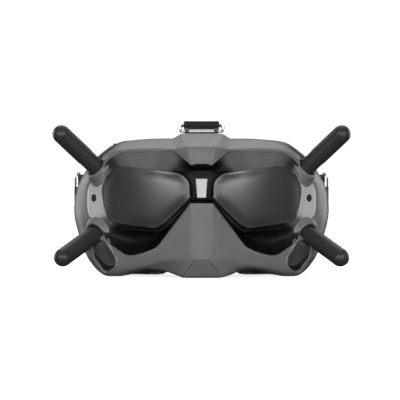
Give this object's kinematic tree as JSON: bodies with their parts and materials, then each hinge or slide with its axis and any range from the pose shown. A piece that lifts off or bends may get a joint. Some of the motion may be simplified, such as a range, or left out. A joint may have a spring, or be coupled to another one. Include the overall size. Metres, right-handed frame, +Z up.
{
  "type": "fpv goggles",
  "caption": "First-person-view drone goggles: faceted grey mask-shaped housing with dark eye panels, corner capsule antennas, foam face seal and webbing head strap.",
  "frame": {"origin": "on the table under the middle of the whole outline, head strap included", "axes": "+Z up; -Y is the front of the goggles, +Y the wearer's side; X runs across, +X to the right as seen from the front"},
  "size_m": [0.2062, 0.2454, 0.1096],
  "materials": {
    "housing_light": "satin fine texture",
    "housing_dark": "satin fine texture",
    "panel_dark": "fine textured, semi gloss",
    "trim_bright": "satin",
    "cover_plastic": "two tone, light ears and black valley",
    "antenna_plastic": "fine matte",
    "polished_steel": "polished",
    "steel_parts": "machined",
    "black_screw": "black oxide",
    "black_metal": "black plated",
    "foam_cloth": "microfibre over foam",
    "webbing": "woven elastic",
    "pad_cloth": "soft knit",
    "circuit_board": "solder mask",
    "heat_sink_metal": "anodised",
    "lens_glass": "clear",
    "display_glass": "dark",
    "button_plastic": "satin",
    "inner_plastic": "matte"
  },
  "bodies": {
    "root": {"antenna_bushes": "black_metal", "back_pad": "pad_cloth", "bridge_trim": "trim_bright", "button_board": "circuit_board", "channel_display": "display_glass", "chin_cap": "housing_light", "cover_screws": "black_screw", "eye_panel_left": "panel_dark", "eye_panel_right": "panel_dark", "face_frame": "inner_plastic", "fan_housing": "inner_plastic", "foam_pad": "foam_cloth", "front_cover": "cover_plastic", "front_shell": "housing_light", "guide_rods": "steel_parts", "heat_sink": "heat_sink_metal", "intake_grille_left": "housing_dark", "intake_grille_right": "housing_dark", "main_board": "circuit_board", "port_block": "inner_plastic", "rear_shell": "housing_dark", "side_lug_left": "housing_dark", "side_lug_right": "housing_dark", "side_strap_left": "webbing", "side_strap_right": "webbing", "strap_adjusters": "antenna_plastic", "top_bracket": "housing_dark", "top_strap": "webbing"},
    "knuckle_upper_left": {"antenna_neck_upper_left": "antenna_plastic", "antenna_pin_upper_left": "steel_parts"},
    "antenna_upper_left": {"antenna_barrel_upper_left": "antenna_plastic"},
    "knuckle_upper_right": {"antenna_neck_upper_right": "antenna_plastic", "antenna_pin_upper_right": "steel_parts"},
    "antenna_upper_right": {"antenna_barrel_upper_right": "antenna_plastic"},
    "knuckle_lower_left": {"antenna_neck_lower_left": "antenna_plastic", "antenna_pin_lower_left": "steel_parts"},
    "antenna_lower_left": {"antenna_barrel_lower_left": "antenna_plastic"},
    "knuckle_lower_right": {"antenna_neck_lower_right": "antenna_plastic", "antenna_pin_lower_right": "steel_parts"},
    "antenna_lower_right": {"antenna_barrel_lower_right": "antenna_plastic"},
    "top_ring": {"top_ring": "polished_steel"},
    "side_ring_left": {"side_ring_left": "polished_steel"},
    "lens_left": {"lens_barrel_left": "inner_plastic", "eye_lens_left": "lens_glass", "display_panel_left": "display_glass", "ipd_slider_left": "button_plastic"},
    "side_ring_right": {"side_ring_right": "polished_steel"},
    "lens_right": {"lens_barrel_right": "inner_plastic", "eye_lens_right": "lens_glass", "display_panel_right": "display_glass", "ipd_slider_right": "button_plastic"},
    "fan_rotor": {"fan_rotor": "inner_plastic"},
    "record_button": {"record_button": "button_plastic"},
    "back_button": {"back_button": "button_plastic"},
    "link_button": {"link_button": "button_plastic"},
    "channel_up_button": {"channel_up_button": "button_plastic"},
    "channel_down_button": {"channel_down_button": "button_plastic"},
    "stick_plunger": {"stick_plunger": "steel_parts"},
    "stick_gimbal": {"stick_gimbal": "steel_parts"},
    "stick_cap": {"stick_cap": "button_plastic"}
  },
  "joints": [
    {"name": "swivel_upper_left", "type": "hinge", "parent": "root", "child": "knuckle_upper_left", "pos_m": [-0.0738, -0.0817, 0.0766], "axis": [0.639, 0.454, -0.621], "range_deg": [-90, 90]},
    {"name": "fold_upper_left", "type": "hinge", "parent": "knuckle_upper_left", "child": "antenna_upper_left", "pos_m": [-0.07795, -0.08465, 0.08064], "axis": [-0.6969, 0, -0.7171], "range_deg": [0, 75]},
    {"name": "swivel_upper_right", "type": "hinge", "parent": "root", "child": "knuckle_upper_right", "pos_m": [0.0738, -0.0817, 0.0766], "axis": [0.639, -0.454, 0.621], "range_deg": [-90, 90]},
    {"name": "fold_upper_right", "type": "hinge", "parent": "knuckle_upper_right", "child": "antenna_upper_right", "pos_m": [0.07795, -0.08465, 0.08064], "axis": [-0.6969, 0, 0.7171], "range_deg": [0, 75]},
    {"name": "swivel_lower_left", "type": "hinge", "parent": "root", "child": "knuckle_lower_left", "pos_m": [-0.0743, -0.0807, 0.0298], "axis": [0.5848, 0.6828, 0.4379], "range_deg": [-90, 90]},
    {"name": "fold_lower_left", "type": "hinge", "parent": "knuckle_lower_left", "child": "antenna_lower_left", "pos_m": [-0.0781, -0.08514, 0.02695], "axis": [0.5993, 0, -0.8005], "range_deg": [0, 75]},
    {"name": "swivel_lower_right", "type": "hinge", "parent": "root", "child": "knuckle_lower_right", "pos_m": [0.0743, -0.0807, 0.0298], "axis": [0.5848, -0.6828, -0.4379], "range_deg": [-90, 90]},
    {"name": "fold_lower_right", "type": "hinge", "parent": "knuckle_lower_right", "child": "antenna_lower_right", "pos_m": [0.0781, -0.08514, 0.02695], "axis": [0.5993, 0, 0.8005], "range_deg": [0, 75]},
    {"name": "top_ring_hinge", "type": "hinge", "parent": "root", "child": "top_ring", "pos_m": [0, -0.0727, 0.1019], "axis": [1, 0, 0], "range_deg": [-10, 100], "deforming": ["top_strap"]},
    {"name": "side_ring_hinge_left", "type": "hinge", "parent": "root", "child": "side_ring_left", "pos_m": [-0.0894, -0.0357, 0.0576], "axis": [0, 0, 1], "range_deg": [-3, 90], "deforming": ["side_strap_left"]},
    {"name": "eye_spacing_left", "type": "slide", "parent": "root", "child": "lens_left", "axis": [-1, 0, 0], "range_m": [-0.0025, 0.0035]},
    {"name": "side_ring_hinge_right", "type": "hinge", "parent": "root", "child": "side_ring_right", "pos_m": [0.0894, -0.0357, 0.0576], "axis": [0, 0, -1], "range_deg": [-3, 90], "deforming": ["side_strap_right"]},
    {"name": "eye_spacing_right", "type": "slide", "parent": "root", "child": "lens_right", "axis": [1, 0, 0], "range_m": [-0.0025, 0.0035]},
    {"name": "fan_spin", "type": "hinge", "parent": "root", "child": "fan_rotor", "pos_m": [0, -0.0667, 0.09], "axis": [0, 0, 1], "continuous": true},
    {"name": "record_button_press", "type": "slide", "parent": "root", "child": "record_button", "axis": [0, 0, -1], "range_m": [0, 0.0006], "stiffness_N_per_m": 1500},
    {"name": "back_button_press", "type": "slide", "parent": "root", "child": "back_button", "axis": [0, 0, -1], "range_m": [0, 0.0006], "stiffness_N_per_m": 1500},
    {"name": "link_button_press", "type": "slide", "parent": "root", "child": "link_button", "axis": [0, 0, -1], "range_m": [0, 0.0006], "stiffness_N_per_m": 1500},
    {"name": "channel_up_button_press", "type": "slide", "parent": "root", "child": "channel_up_button", "axis": [-0.9609, 0.2703, -0.0601], "range_m": [0, 0.0005], "stiffness_N_per_m": 1500},
    {"name": "channel_down_button_press", "type": "slide", "parent": "root", "child": "channel_down_button", "axis": [-0.9609, 0.2703, -0.0601], "range_m": [0, 0.0005], "stiffness_N_per_m": 1500},
    {"name": "stick_plunger_press", "type": "slide", "parent": "root", "child": "stick_plunger", "axis": [0, 0, -1], "range_m": [0, 0.0003], "stiffness_N_per_m": 2000},
    {"name": "stick_tilt_fore_aft", "type": "hinge", "parent": "stick_plunger", "child": "stick_gimbal", "pos_m": [-0.061, -0.0442, 0.089], "axis": [1, 0, 0], "range_deg": [-8, 8], "stiffness_Nm_per_rad": 0.02},
    {"name": "stick_tilt_sideways", "type": "hinge", "parent": "stick_gimbal", "child": "stick_cap", "pos_m": [-0.061, -0.0442, 0.089], "axis": [0, 1, 0], "range_deg": [-8, 8], "stiffness_Nm_per_rad": 0.02}
  ]
}
